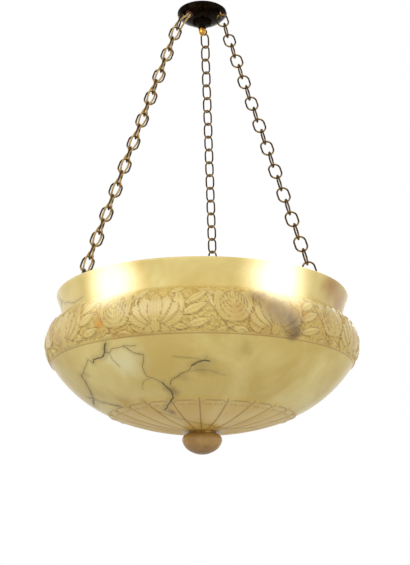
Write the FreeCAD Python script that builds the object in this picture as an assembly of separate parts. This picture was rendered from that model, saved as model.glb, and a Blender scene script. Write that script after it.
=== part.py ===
import FreeCAD
import Part
import math
import os

# Alabaster bowl pendant, in millimetres. The origin is the middle of the canopy's back face, on
# the ceiling, with +Z up, so that the whole lamp hangs below it. The front is -Y. Pieces that
# belong to one chain are drawn in the plane of +X and +Z and then turned to that chain's azimuth.

V = FreeCAD.Vector
UP = V(0, 0, 1)

SEAT = 0.1                 # gap between flat faces that are clamped together
CLEAR = 0.3                # gap round a piece that passes through a hole
THREAD = 0.08              # radial play between a thread and its nut

# Chains: azimuth of each, and the roll of its first link out of the vertical radial plane
CHAINS = {"left": (-156.5, 66.5), "right": (-36.5, 36.5), "rear": (83.5, -38.5)}
LINK_COUNT = 23
LINK_LENGTH = 23.1
LINK_WIDTH = 16.8
LINK_WIRE = 2.3
LINK_PLAY = 0.2

# Alabaster bowl: radii of the turned profile, and the height of each band from the rim down
RIM_RADIUS = 186.2
RIM_EDGE = 2.2
WALL = 12.0
NECK_HEIGHT = 32.0
NECK_HOLLOW = 1.2
WAIST_RADIUS = 177.6
FRIEZE_HEIGHT = 60.0
FRIEZE_BULGE = 15.2
FRIEZE_RADIUS = 187.5
FLANK_HEIGHT = 56.0
FLANK_BULGE = 6.0
PETAL_RADIUS = 120.0
PETAL_STEP = 2.6
PETAL_HEIGHT = 20.4
PETAL_BULGE = 4.0
FOOT_RADIUS = 24.0

# Rim hooks
HOOK_WIRE = 4.0
HOOK_EYE = 5.0             # radius of the eye's centre line
HOOK_EYE_INSET = 8.9       # from the lip's inner edge to the middle of the eye
HOOK_SHANK_GAP = 2.1       # between the shank and the narrowest stone that it passes
HOOK_SHOULDER = 6.9        # from the foot of the eye down to the straight shank
HOOK_DROP = 11.5           # length of the straight shank
HOOK_PIN = 8.0             # depth of the pin in the alabaster
HOOK_RISE = 15.0           # upward slope of the pin, in degrees
HOOK_HOLE_SPARE = 0.8      # how much deeper the hole is than the pin

# Canopy
DISH_RADIUS = 34.6
DISH_EDGE = 1.6
DISH_DEPTH = 12.9
DISH_BULGE = 2.2
DISH_FLAT = 13.0
DISH_WALL = 1.2
CUP_RADIUS = 14.4
CUP_HEIGHT = 7.4
CUP_NECK = 5.2
CUP_HOLLOW = 1.3
CUP_RIBS = 16
CUP_GROOVE = 1.0
COLLAR_RADIUS = 5.7
COLLAR_HEIGHT = 2.7
ACORN_RADIUS = 4.9
ACORN_HEIGHT = 11.6
ACORN_BORE = 7.0
ROD_RADIUS = 3.0
BAR_LENGTH = 56.0
BAR_WIDTH = 12.0
BAR_THICKNESS = 2.0
BAR_HOLE_SPACING = 40.0
BAR_HOLE_RADIUS = 2.2
EARTH_OFFSET = 11.0
EARTH_RADIUS = 1.7
EARTH_HEAD_RADIUS = 3.0
EARTH_HEAD_HEIGHT = 2.0
ROD_NUT_ACROSS = 10.0
ROD_NUT_HEIGHT = 4.0
EYE_WIRE = 2.2
EYE_RING = 3.6             # radius of the ring's centre line
EYE_STANDOFF = 0.8         # between the ring and the dish
EYE_ANGLE = 34.0           # lean of the eye's shank from the vertical, in degrees
EYE_TAIL = 1.0             # thread that stands past the nut
EYE_NUT_ACROSS = 5.5
EYE_NUT_HEIGHT = 2.0
BUSH_AZIMUTH = -137.5
BUSH_PLACE = 24.0          # distance of the bush from the axis
BUSH_RADIUS = 4.4
BUSH_WALL = 1.1
BUSH_FLANGE = 1.0
BUSH_LENGTH = 3.4
BLOCK_SIZE = (14.0, 8.0, 5.2)
BLOCK_PLACE = (-11.0, 13.0, -1.0)  # middle of the block's top face
BLOCK_SCREWS = 3
BLOCK_SCREW_RADIUS = 1.5
BLOCK_SCREW_HEIGHT = 0.9

# Flex: two cores, woven through the left chain
CORE_RADIUS = 1.25
CORE_PAIR = 1.5            # from the middle of the pair to each core, where they run side by side
CORE_TWIST = 120.0         # turn of the pair in the bush, in degrees from level
WEAVE = 3.6                # sideways place of a core where two links meet
CORE_BREAK = 0.8           # gap in a core at each pivot of the chain
CORE_ARC = 0.45            # share of the shorter run that an arc takes
# The flex inside the bowl, from the hook to the lid: out from the axis, across, up from the rim
FLEX_INSIDE = ((150, -14, -18), (141, -26, -44), (115, -31, -62), (78, -24, -66), (44, -12, -60),
               (22, -3, -53))
FLEX_DROP = 7.0            # last straight run, down through the lid

# Button under the bowl, and the stud that holds it and the lights
STUD_RADIUS = 3.9
DISC_THICKNESS = 2.0
OUTER_DISC_RADIUS = 17.0
INNER_DISC_RADIUS = 20.0
BUTTON_RADIUS = 25.0
BUTTON_TOP_RADIUS = 19.0
BUTTON_SHOULDER = 8.6      # from the button's top down to its widest place
BUTTON_HEIGHT = 25.4
BUTTON_TIP_RADIUS = 12.0
BUTTON_TIP = 2.6           # height of the rounded tip
STUD_IN_BUTTON = 13.0
STUD_NUT_ACROSS = 13.0
STUD_NUT_HEIGHT = 6.5

# Three-light cluster
SPACER_RADIUS = 6.5
SPACER_LENGTH = 54.0
HUB_RADIUS = 26.0
HUB_HEIGHT = 26.0
HUB_WALL = 1.5
LID_THICKNESS = 2.5
LID_LIP = 3.0
LID_NUT_HEIGHT = 7.0
GLAND_PLACE = 14.0         # distance of the flex hole in the lid from the axis
GLAND_RADIUS = 3.4
JUNCTION_SIZE = (9.0, 10.0, 6.0)
ARM_RADIUS = 4.0
ARM_BORE = 3.0
ARM_BEND = 16.0
ARM_INSIDE = 5.0           # length of tube inside the cup
ARM_RISE = 19.0            # from the arm's centre line up to its end
LEAD_RADIUS = 2.2
LAMP_PLACE = 115.0         # distance of each lamp from the axis
HOLDER_RADIUS = 13.5
HOLDER_HEIGHT = 32.0
HOLDER_WALL = 1.2
INSULATOR_HEIGHT = 26.0
INSULATOR_FLOOR = 4.0
CAP_RADIUS = 6.8
CAP_HEIGHT = 24.0
CAP_TIP_RADIUS = 2.6
CAP_TIP_HEIGHT = 1.6
GLOBE_RADIUS = 20.0
GLOBE_NECK = 6.4
GLOBE_NECK_HEIGHT = 2.0
GLASS = 0.8


def save(name, *solids):
    """Write one sub-part, and stop if a solid in it isn't sound."""
    for solid in solids:
        if not solid.isValid() or solid.Volume <= 0 or len(solid.Solids) != 1:
            raise ValueError(name + " is not one sound solid")
    shape = solids[0] if len(solids) == 1 else Part.makeCompound(list(solids))
    shape.exportStep("parts/" + name + ".step")


def rod(radius, low, high, x=0.0, y=0.0):
    """Upright round bar."""
    return Part.makeCylinder(radius, high - low, V(x, y, low))


def bar_between(start, end, radius):
    """Round bar from one point to another."""
    return Part.makeCylinder(radius, (end - start).Length, start, end - start)


def tube(radius, bore, low, high, x=0.0, y=0.0):
    return rod(radius, low, high, x, y).cut(rod(bore, low - 1, high + 1, x, y))


def hexagon(across, base, axis, height, bore):
    """Hexagonal nut standing on a point, with a round hole."""
    corner = across / math.sqrt(3)
    points = [V(corner * math.cos(math.radians(60 * k)), corner * math.sin(math.radians(60 * k)), 0)
              for k in range(7)]
    nut = Part.Face(Part.makePolygon(points)).extrude(V(0, 0, height))
    nut = nut.cut(rod(bore, -1, height + 1))
    nut.Placement = FreeCAD.Placement(base, FreeCAD.Rotation(UP, axis))
    return nut


def turned(outline):
    """Solid of revolution about Z. The outline is a closed list of (radius, z) points; an item
    (radius, z, bulge) is reached by an arc that stands out by the bulge to the right of the way."""
    edges = []
    last = V(outline[-1][0], 0, outline[-1][1])
    for item in outline:
        point = V(item[0], 0, item[1])
        if len(item) == 3 and item[2]:
            edges.append(arc_out(last, point, item[2]))
        else:
            edges.append(Part.LineSegment(last, point).toShape())
        last = point
    return Part.Face(Part.Wire(edges)).revolve(V(), UP, 360)


def arc_out(start, end, bulge):
    """Arc between two points of the XZ plane, standing out by the bulge to the right of the way."""
    way = end - start
    side = V(way.z, 0, -way.x).normalize()
    return Part.Arc(start, (start + end) * 0.5 + side * bulge, end).toShape()


def arc_centre(start, end, bulge):
    """Centre and radius of that arc."""
    way = end - start
    half = way.Length / 2
    radius = (half * half + bulge * bulge) / (2 * bulge)
    side = V(way.z, 0, -way.x).normalize()
    return (start + end) * 0.5 - side * (radius - bulge), radius


def turn(shape, azimuth):
    """A copy turned about the lamp's axis."""
    copy = shape.copy()
    copy.rotate(V(), UP, azimuth)
    return copy


def turned_point(point, azimuth):
    return FreeCAD.Rotation(UP, azimuth).multVec(point)


def rounded_corners(points, share=CORE_ARC):
    """For each corner of a route: its arc's start, middle, end, radius and centre."""
    corners = []
    for before, point, after in zip(points, points[1:], points[2:]):
        back = before - point
        onward = after - point
        short = min(back.Length, onward.Length)
        half_turn = (math.pi - back.getAngle(onward)) / 2
        radius = share * short / math.tan(half_turn)
        back.normalize()
        onward.normalize()
        inward = (back + onward).normalize()
        reach = radius / math.cos(half_turn)
        corners.append((point + back * share * short,
                        point + inward * (reach - radius),
                        point + onward * share * short, radius, point + inward * reach))
    return corners


def swept(edges, radius):
    """Round bar along a smooth line of edges, checked against its section times its length."""
    path = Part.Wire(edges)
    start = edges[0].valueAt(edges[0].FirstParameter)
    way = edges[0].tangentAt(edges[0].FirstParameter)
    section = Part.Wire(Part.Circle(start, way, radius).toShape())
    bar = path.makePipeShell([section], True, False)
    expected = math.pi * radius ** 2 * path.Length
    if abs(bar.Volume - expected) > 0.01 * expected:
        raise ValueError("a swept bar has lost its section")
    return bar


def bent_bar(points, radius, share=CORE_ARC):
    """Round bar along a route, with an arc at each corner."""
    edges = []
    last = points[0]
    for start, middle, end, arc_radius, centre in rounded_corners(points, share):
        edges.append(Part.LineSegment(last, start).toShape())
        edges.append(Part.Arc(start, middle, end).toShape())
        last = end
    edges.append(Part.LineSegment(last, points[-1]).toShape())
    return swept(edges, radius)


# Canopy dish, with its curved side as an arc whose centre sets the lean of the eyes and the bush

dish_edge = V(DISH_RADIUS, 0, -DISH_EDGE)
dish_foot = V(DISH_FLAT, 0, -DISH_DEPTH)
dish_centre, dish_arc = arc_centre(dish_foot, dish_edge, DISH_BULGE)


def on_dish(angle, out):
    """Point at a distance outside the dish's curved side, seen at an angle from its arc's centre."""
    lean = math.radians(angle)
    return dish_centre + V(math.sin(lean), 0, -math.cos(lean)) * (dish_arc + out)


inner_edge = dish_edge - V(DISH_WALL, 0, -DISH_WALL * 0.4)
inner_foot = dish_foot + V(0, 0, DISH_WALL)
dish = turned([(inner_edge.x, 0), (inner_edge.x, inner_edge.z), (inner_foot.x, inner_foot.z, -DISH_BULGE),
               (0, inner_foot.z), (0, dish_foot.z), (dish_foot.x, dish_foot.z),
               (dish_edge.x, dish_edge.z, DISH_BULGE), (dish_edge.x, 0)])
dish = dish.cut(rod(ROD_RADIUS + CLEAR, -DISH_DEPTH - 1, 0))

# Ribbed cup, collar and acorn nut, stacked under the dish on the rod

cup_top = -DISH_DEPTH - SEAT
cup_foot = cup_top - CUP_HEIGHT
cup = turned([(0, cup_top), (0, cup_foot), (CUP_NECK, cup_foot), (CUP_RADIUS, cup_top, CUP_HOLLOW)])
cup = cup.cut(rod(ROD_RADIUS + CLEAR, cup_foot - 1, cup_top + 1))
groove = bar_between(V(CUP_RADIUS + CUP_GROOVE, 0, cup_top + CUP_GROOVE),
                     V(CUP_NECK + CUP_GROOVE, 0, cup_foot - CUP_GROOVE), CUP_GROOVE + CUP_HOLLOW)
for rib in range(CUP_RIBS):
    cup = cup.cut(turn(groove, 360 * rib / CUP_RIBS))

collar_top = cup_foot - SEAT
collar_foot = collar_top - COLLAR_HEIGHT
collar = tube(COLLAR_RADIUS, ROD_RADIUS + CLEAR, collar_foot, collar_top)
collar = collar.makeFillet(COLLAR_HEIGHT / 4, [edge for edge in collar.Edges
                                              if abs(edge.BoundBox.XMax - COLLAR_RADIUS) < 0.01
                                              and edge.BoundBox.ZLength < 0.01])

acorn_top = collar_foot - CLEAR
acorn_tip = acorn_top - ACORN_HEIGHT
acorn = turned([(0, acorn_top), (0, acorn_tip), (ACORN_RADIUS * 0.9, acorn_top - ACORN_HEIGHT * 0.45, 1.1),
                (ACORN_RADIUS, acorn_top - ACORN_HEIGHT * 0.3), (ACORN_RADIUS, acorn_top - 1.6),
                (ACORN_RADIUS * 0.8, acorn_top)])
acorn = acorn.cut(rod(ROD_RADIUS + THREAD, acorn_top - ACORN_BORE, acorn_top + 1))
save("canopy_acorn_nut", acorn)
save("canopy_ribbed_cup", cup)
save("canopy_collar", collar)

# Crossbar on the ceiling, with the rod and its nut, and the earth screw

rod_foot = acorn_top - ACORN_BORE + CLEAR
save("canopy_rod", rod(ROD_RADIUS, rod_foot, 0))
crossbar = Part.makeBox(BAR_LENGTH, BAR_WIDTH, BAR_THICKNESS,
                        V(-BAR_LENGTH / 2, -BAR_WIDTH / 2, -BAR_THICKNESS))
for x, radius in ((BAR_HOLE_SPACING / 2, BAR_HOLE_RADIUS), (-BAR_HOLE_SPACING / 2, BAR_HOLE_RADIUS),
                  (0, ROD_RADIUS + THREAD), (EARTH_OFFSET, EARTH_RADIUS + THREAD)):
    crossbar = crossbar.cut(rod(radius, -BAR_THICKNESS - 1, 1, x))
save("ceiling_crossbar", crossbar)
save("rod_nut", hexagon(ROD_NUT_ACROSS, V(0, 0, -BAR_THICKNESS - SEAT - ROD_NUT_HEIGHT), UP,
                        ROD_NUT_HEIGHT, ROD_RADIUS + THREAD))
earth_head = -BAR_THICKNESS - SEAT
save("earth_screw", rod(EARTH_RADIUS, earth_head - 0.5, 0, EARTH_OFFSET).fuse(
    rod(EARTH_HEAD_RADIUS, earth_head - EARTH_HEAD_HEIGHT, earth_head, EARTH_OFFSET)).removeSplitter())

# Terminal block in the canopy, with its screws

block_low = V(BLOCK_PLACE[0] - BLOCK_SIZE[0] / 2, BLOCK_PLACE[1] - BLOCK_SIZE[1] / 2,
              BLOCK_PLACE[2] - BLOCK_SIZE[2])
block = Part.makeBox(*BLOCK_SIZE, block_low)
save("canopy_terminal_block", block)
screw_low = BLOCK_PLACE[2] - BLOCK_SIZE[2] - SEAT - BLOCK_SCREW_HEIGHT
save("terminal_screws", *[
    rod(BLOCK_SCREW_RADIUS, screw_low, screw_low + BLOCK_SCREW_HEIGHT,
        block_low.x + BLOCK_SIZE[0] * (k + 0.5) / BLOCK_SCREWS, BLOCK_PLACE[1])
    for k in range(BLOCK_SCREWS)])

# Bush for the flex, square to the dish's curved side

bush_angle = math.degrees(math.asin((BUSH_PLACE - dish_centre.x) / dish_arc))
bush_out = on_dish(bush_angle, 0)
bush_in = on_dish(bush_angle, -DISH_WALL)
bush_way = (bush_out - bush_in).normalize()
bush_barrel = bar_between(bush_out - bush_way * (BUSH_LENGTH - CLEAR), bush_out + bush_way * CLEAR,
                          BUSH_RADIUS)
bush_flange = bar_between(bush_out + bush_way * CLEAR, bush_out + bush_way * (CLEAR + BUSH_FLANGE),
                          BUSH_RADIUS + BUSH_FLANGE)
bush_bore = bar_between(bush_out - bush_way * 10, bush_out + bush_way * 10, BUSH_RADIUS - BUSH_WALL)
save("flex_bush", turn(bush_barrel.fuse(bush_flange).removeSplitter().cut(bush_bore), BUSH_AZIMUTH))
dish = dish.cut(turn(bar_between(bush_out - bush_way * 5, bush_out + bush_way * 5, BUSH_RADIUS + CLEAR),
                     BUSH_AZIMUTH))

# Rim hooks, and the line of a chain from the middle of its canopy eye to the middle of its hook eye

lip_inner = RIM_RADIUS - WALL
waist_inner = WAIST_RADIUS - WALL
pitch = LINK_LENGTH - 2 * LINK_WIRE - LINK_PLAY
eye_middle = on_dish(EYE_ANGLE, EYE_STANDOFF + EYE_RING + EYE_WIRE / 2)
eye_inside = EYE_RING - EYE_WIRE / 2
hook_inside = HOOK_EYE - HOOK_WIRE / 2
chain_run = LINK_COUNT * pitch + eye_inside + hook_inside
hook_out = lip_inner - HOOK_EYE_INSET
hook_middle = V(hook_out, 0, eye_middle.z - math.sqrt(chain_run ** 2 - (hook_out - eye_middle.x) ** 2))
down = (hook_middle - eye_middle).normalize()
contacts = [eye_middle + down * (eye_inside + pitch * k) for k in range(LINK_COUNT + 1)]
rim = hook_middle.z        # the eyes of the hooks are level with the rim



def neck_wall(height):
    """Inner radius of the neck at a height."""
    return waist_inner + (lip_inner - waist_inner) * (height - rim + NECK_HEIGHT) / NECK_HEIGHT


hook_foot = hook_middle + down * HOOK_EYE
shank_high = hook_foot.z - HOOK_SHOULDER
shank_place = min(waist_inner, neck_wall(shank_high)) - HOOK_SHANK_GAP - HOOK_WIRE / 2
shank_top = V(shank_place, 0, shank_high)
shank_foot = shank_top - UP * HOOK_DROP
rise = V(math.cos(math.radians(HOOK_RISE)), 0, math.sin(math.radians(HOOK_RISE)))
wall_at_pin = neck_wall(shank_foot.z)
pin_length = (wall_at_pin - shank_place) / rise.x + HOOK_PIN
hook_line = [hook_foot, shank_top, shank_foot, shank_foot + rise * pin_length]
hook_shank = bent_bar(hook_line, HOOK_WIRE / 2)
pin_hole = bar_between(shank_foot + rise * (wall_at_pin - shank_place) * 0.6,
                       shank_foot + rise * (pin_length + HOOK_HOLE_SPARE), HOOK_WIRE / 2 + CLEAR)


def side_of(roll):
    """Sideways direction at right angles to the chain, rolled out of the radial plane."""
    out = V(-down.z, 0, down.x)
    return out * math.cos(math.radians(roll)) + V(0, 1, 0) * math.sin(math.radians(roll))


def ring(middle, roll, radius, wire):
    """Round wire ring that lies along the chain, with its sides rolled from the radial plane."""
    return Part.makeTorus(radius, wire / 2, middle, down.cross(side_of(roll)))


def link(middle, roll):
    """Oval link: two half rings and two straight sides."""
    radius = (LINK_WIDTH - LINK_WIRE) / 2
    straight = LINK_LENGTH - LINK_WIDTH
    wire = LINK_WIRE / 2
    shape = Part.makeTorus(radius, wire, V(straight / 2, 0, 0), UP, -180, 180, 180)
    shape.rotate(V(straight / 2, 0, 0), UP, -90)
    shape = shape.fuse([shape.mirror(V(), V(1, 0, 0))] + [
        Part.makeCylinder(wire, straight, V(-straight / 2, y, 0), V(1, 0, 0)) for y in (-radius, radius)])
    shape = shape.removeSplitter()
    along, side = down, side_of(roll)
    normal = along.cross(side)
    frame = FreeCAD.Matrix(along.x, side.x, normal.x, middle.x, along.y, side.y, normal.y, middle.y,
                           along.z, side.z, normal.z, middle.z, 0, 0, 0, 1)
    return shape.transformed(frame)


# Canopy eyes with their nuts inside the dish, and the chains with their hooks

eye_end = on_dish(EYE_ANGLE, -DISH_WALL - SEAT * 4 - EYE_NUT_HEIGHT - EYE_TAIL)
eye_way = (eye_end - eye_middle).normalize()
eye_hole = bar_between(on_dish(EYE_ANGLE, 2), eye_end, EYE_WIRE / 2 + CLEAR)
nut_seat = on_dish(EYE_ANGLE, -DISH_WALL - SEAT * 4)
eye_nuts = []
for name, (azimuth, roll) in CHAINS.items():
    eye = ring(eye_middle, roll + 90, EYE_RING, EYE_WIRE).fuse(
        bar_between(eye_middle + eye_way * EYE_RING, eye_end, EYE_WIRE / 2)).removeSplitter()
    save(name + "_canopy_eye", turn(eye, azimuth))
    eye_nuts.append(turn(hexagon(EYE_NUT_ACROSS, nut_seat, eye_way, EYE_NUT_HEIGHT,
                                 EYE_WIRE / 2 + THREAD), azimuth))
    dish = dish.cut(turn(eye_hole, azimuth))
    links = [turn(link((contacts[k] + contacts[k + 1]) * 0.5, roll + 90 * (k % 2)), azimuth)
             for k in range(LINK_COUNT)]
    save(name + "_top_link", links[0])
    save(name + "_chain", *links[1:-1])
    save(name + "_bottom_link", links[-1])
    last_roll = roll + 90 * ((LINK_COUNT - 1) % 2)
    hook = ring(hook_middle, last_roll + 90, HOOK_EYE, HOOK_WIRE).fuse(hook_shank).removeSplitter()
    save(name + "_rim_hook", turn(hook, azimuth))
save("canopy_eye_nuts", *eye_nuts)
save("canopy_dish", dish)

# Alabaster bowl, with the same bands inside as outside, a wall's thickness in

waist = rim - NECK_HEIGHT
frieze_foot = waist - FRIEZE_HEIGHT
flank_foot = frieze_foot - FLANK_HEIGHT
petal_top = flank_foot - PETAL_STEP
bowl_foot = petal_top - PETAL_HEIGHT
bands = [V(RIM_RADIUS, 0, rim), V(WAIST_RADIUS, 0, waist), V(FRIEZE_RADIUS, 0, frieze_foot),
         V(PETAL_RADIUS, 0, flank_foot), V(FOOT_RADIUS, 0, bowl_foot)]
bulges = [-NECK_HOLLOW, FRIEZE_BULGE, FLANK_BULGE, PETAL_BULGE]


def inward(before, point, after):
    """The point moved a wall's thickness into the stone, square to the two bands that meet there."""
    first, second = point - before, after - point
    way = V(first.z, 0, -first.x).normalize() + V(second.z, 0, -second.x).normalize()
    return point + way.normalize() * WALL


hollow = [V(lip_inner, 0, rim), V(waist_inner, 0, waist)]
hollow += [inward(*bands[k - 1:k + 2]) for k in (2, 3)]
hollow += [V(FOOT_RADIUS, 0, bowl_foot + WALL)]
outline = [(0, bowl_foot + WALL), (0, bowl_foot), (FOOT_RADIUS, bowl_foot),
           (PETAL_RADIUS - PETAL_STEP, petal_top, PETAL_BULGE), (PETAL_RADIUS, flank_foot)]
outline += [(bands[k].x, bands[k].z, bulges[k]) for k in (2, 1)]
outline += [(RIM_RADIUS, rim, bulges[0]), (lip_inner, rim)]
outline += [(hollow[k + 1].x, hollow[k + 1].z, -bulges[k]) for k in range(4)]
bowl = turned(outline)
lip_edges = [edge for edge in bowl.Edges
             if abs(edge.BoundBox.ZMin - rim) < 0.01 and edge.BoundBox.ZLength < 0.01]
bowl = bowl.makeFillet(RIM_EDGE, lip_edges)
bowl = bowl.cut(rod(STUD_RADIUS + 2 * CLEAR, bowl_foot - 1, bowl_foot + WALL + 1))
for azimuth, roll in CHAINS.values():
    bowl = bowl.cut(turn(pin_hole, azimuth))
save("alabaster_bowl", bowl)

# Button under the bowl, and the stud through both

outer_disc_top = bowl_foot - SEAT
button_top = outer_disc_top - DISC_THICKNESS - SEAT
button_foot = button_top - BUTTON_HEIGHT
widest = button_top - BUTTON_SHOULDER
button = turned([(0, button_top), (0, button_foot), (BUTTON_TIP_RADIUS, button_foot + BUTTON_TIP, 0.8),
                 (BUTTON_RADIUS, widest, 2.4), (BUTTON_TOP_RADIUS, button_top, 1.8)])
button = button.cut(rod(STUD_RADIUS + THREAD, button_top - STUD_IN_BUTTON - CLEAR, button_top + 1))
save("alabaster_button", button)
save("button_disc", tube(OUTER_DISC_RADIUS, STUD_RADIUS + CLEAR, outer_disc_top - DISC_THICKNESS,
                         outer_disc_top))

inner_disc_foot = bowl_foot + WALL + SEAT
save("inner_disc", tube(INNER_DISC_RADIUS, STUD_RADIUS + CLEAR, inner_disc_foot,
                        inner_disc_foot + DISC_THICKNESS))
stud_nut_foot = inner_disc_foot + DISC_THICKNESS + SEAT
save("stud_nut", hexagon(STUD_NUT_ACROSS, V(0, 0, stud_nut_foot), UP, STUD_NUT_HEIGHT,
                         STUD_RADIUS + THREAD))
spacer_foot = stud_nut_foot + STUD_NUT_HEIGHT + SEAT
hub_foot = spacer_foot + SPACER_LENGTH + SEAT
save("cluster_spacer", tube(SPACER_RADIUS, STUD_RADIUS + CLEAR, spacer_foot, spacer_foot + SPACER_LENGTH))
hub_top = hub_foot + HUB_HEIGHT
hub_nut_foot = hub_foot + HUB_WALL + SEAT
save("hub_nut", hexagon(STUD_NUT_ACROSS, V(0, 0, hub_nut_foot), UP, STUD_NUT_HEIGHT,
                        STUD_RADIUS + THREAD))
lid_foot = hub_top + SEAT
lid_nut_foot = lid_foot + LID_THICKNESS + SEAT
save("lid_nut", hexagon(STUD_NUT_ACROSS, V(0, 0, lid_nut_foot), UP, LID_NUT_HEIGHT, STUD_RADIUS + THREAD))
save("through_stud", rod(STUD_RADIUS, button_top - STUD_IN_BUTTON, lid_nut_foot + LID_NUT_HEIGHT))

# Junction cup and lid of the cluster

arm_height = hub_foot + HUB_HEIGHT / 2
hub = rod(HUB_RADIUS, hub_foot, hub_top).cut(rod(HUB_RADIUS - HUB_WALL, hub_foot + HUB_WALL, hub_top + 1))
hub = hub.cut(rod(STUD_RADIUS + CLEAR, hub_foot - 1, hub_top))
for azimuth, roll in CHAINS.values():
    hub = hub.cut(turn(bar_between(V(HUB_RADIUS - 5, 0, arm_height), V(HUB_RADIUS + 5, 0, arm_height),
                                   ARM_RADIUS + CLEAR), azimuth))
save("cluster_cup", hub)
lid = rod(HUB_RADIUS, lid_foot, lid_foot + LID_THICKNESS)
lid = lid.fuse(tube(HUB_RADIUS - HUB_WALL - CLEAR, HUB_RADIUS - 2 * HUB_WALL - CLEAR,
                    lid_foot - LID_LIP, lid_foot)).removeSplitter()
lid = lid.cut(rod(STUD_RADIUS + CLEAR, lid_foot - 1, lid_foot + LID_THICKNESS + 1))
left_azimuth, left_roll = CHAINS["left"]
gland = turned_point(V(GLAND_PLACE, 0, 0), left_azimuth)
lid = lid.cut(rod(GLAND_RADIUS, lid_foot - 1, lid_foot + LID_THICKNESS + 1, gland.x, gland.y))
save("cluster_lid", lid)
junction = Part.makeBox(*JUNCTION_SIZE, V(GLAND_PLACE - JUNCTION_SIZE[0] / 2, -JUNCTION_SIZE[1] / 2,
                                          lid_foot - SEAT - JUNCTION_SIZE[2]))
save("junction_terminal", turn(junction, left_azimuth))

# Arms with leads inside, lampholders and lamps

arm_end = arm_height + ARM_RISE
arm_line = [V(HUB_RADIUS - ARM_INSIDE, 0, arm_height), V(LAMP_PLACE - ARM_BEND, 0, arm_height),
            V(LAMP_PLACE, 0, arm_height + ARM_BEND), V(LAMP_PLACE, 0, arm_end)]
bend_middle = V(LAMP_PLACE - ARM_BEND * (1 - math.sqrt(0.5)), 0,
                arm_height + ARM_BEND * (1 - math.sqrt(0.5)))


def along_arm(radius, start, end):
    """Round bar along an arm: level, then a quarter turn, then upright."""
    return swept([Part.LineSegment(start, arm_line[1]).toShape(),
                  Part.Arc(arm_line[1], bend_middle, arm_line[2]).toShape(),
                  Part.LineSegment(arm_line[2], end).toShape()], radius)


arm = along_arm(ARM_RADIUS, arm_line[0], arm_line[3]).cut(
    along_arm(ARM_BORE, arm_line[0] - V(1, 0, 0), arm_line[3] + UP))
holder_foot = arm_end - HOLDER_WALL - CLEAR
holder_top = holder_foot + HOLDER_HEIGHT
insulator_foot = arm_end + CLEAR
cap_tip = insulator_foot + INSULATOR_FLOOR + CLEAR
cap_foot = cap_tip + CAP_TIP_HEIGHT
cap_top = cap_foot + CAP_HEIGHT - CAP_TIP_HEIGHT
lead = along_arm(LEAD_RADIUS, arm_line[0] - V(1.5, 0, 0),
                 V(LAMP_PLACE, 0, insulator_foot + INSULATOR_FLOOR / 2))
glass_foot = cap_top + SEAT
globe_middle = glass_foot + GLOBE_NECK_HEIGHT + math.sqrt(GLOBE_RADIUS ** 2 - GLOBE_NECK ** 2)


def globe(radius, neck, foot):
    """Round bulb on a short straight neck."""
    return Part.makeSphere(radius, V(LAMP_PLACE, 0, globe_middle)).fuse(
        rod(neck, foot, globe_middle, LAMP_PLACE)).removeSplitter()


holder = rod(HOLDER_RADIUS, holder_foot, holder_top, LAMP_PLACE).cut(
    rod(HOLDER_RADIUS - HOLDER_WALL, holder_foot + HOLDER_WALL, holder_top + 1, LAMP_PLACE))
holder = holder.cut(rod(ARM_RADIUS + CLEAR, holder_foot - 1, holder_foot + HOLDER_WALL + 1, LAMP_PLACE))
insulator = rod(HOLDER_RADIUS - HOLDER_WALL - CLEAR, insulator_foot, insulator_foot + INSULATOR_HEIGHT,
                LAMP_PLACE)
insulator = insulator.cut(rod(CAP_RADIUS + CLEAR, insulator_foot + INSULATOR_FLOOR,
                              insulator_foot + INSULATOR_HEIGHT + 1, LAMP_PLACE))
insulator = insulator.cut(rod(LEAD_RADIUS + CLEAR, insulator_foot - 1,
                              insulator_foot + INSULATOR_FLOOR / 2 + CLEAR, LAMP_PLACE))
cap = rod(CAP_RADIUS, cap_foot, cap_top, LAMP_PLACE).fuse(
    rod(CAP_TIP_RADIUS, cap_tip, cap_foot, LAMP_PLACE)).removeSplitter()
glass = globe(GLOBE_RADIUS, GLOBE_NECK, glass_foot).cut(
    globe(GLOBE_RADIUS - GLASS, GLOBE_NECK - GLASS, glass_foot - 1))
leads = []
for name, (azimuth, roll) in CHAINS.items():
    save(name + "_lamp_arm", turn(arm, azimuth))
    save(name + "_lampholder", turn(holder, azimuth))
    save(name + "_holder_insulator", turn(insulator, azimuth))
    save(name + "_lamp_cap", turn(cap, azimuth))
    save(name + "_lamp_glass", turn(glass, azimuth))
    leads.append(turn(lead, azimuth))
save("arm_leads", *leads)

# Flex: each core as one route, cut into a piece for each body that it rides on

front = side_of(left_roll)
right = side_of(left_roll + 90)


def beside(contact, forward, sideways):
    """Point beside the left chain, in millimetres to its front and to its right."""
    return turned_point(contact + front * forward + right * sideways, left_azimuth)


def woven(number, turns):
    """Place of a core where two links meet: a quarter turn further at each link."""
    angle = math.radians(45 - 90 * (number + turns))
    reach = WEAVE * math.sqrt(2)
    return beside(contacts[number], reach * math.cos(angle), reach * math.sin(angle))


def in_bowl(out, across, height):
    """Point inside the bowl, by distance from the axis, across the left arm, and from the rim."""
    return turned_point(V(out, across, rim + height), left_azimuth)


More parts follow.
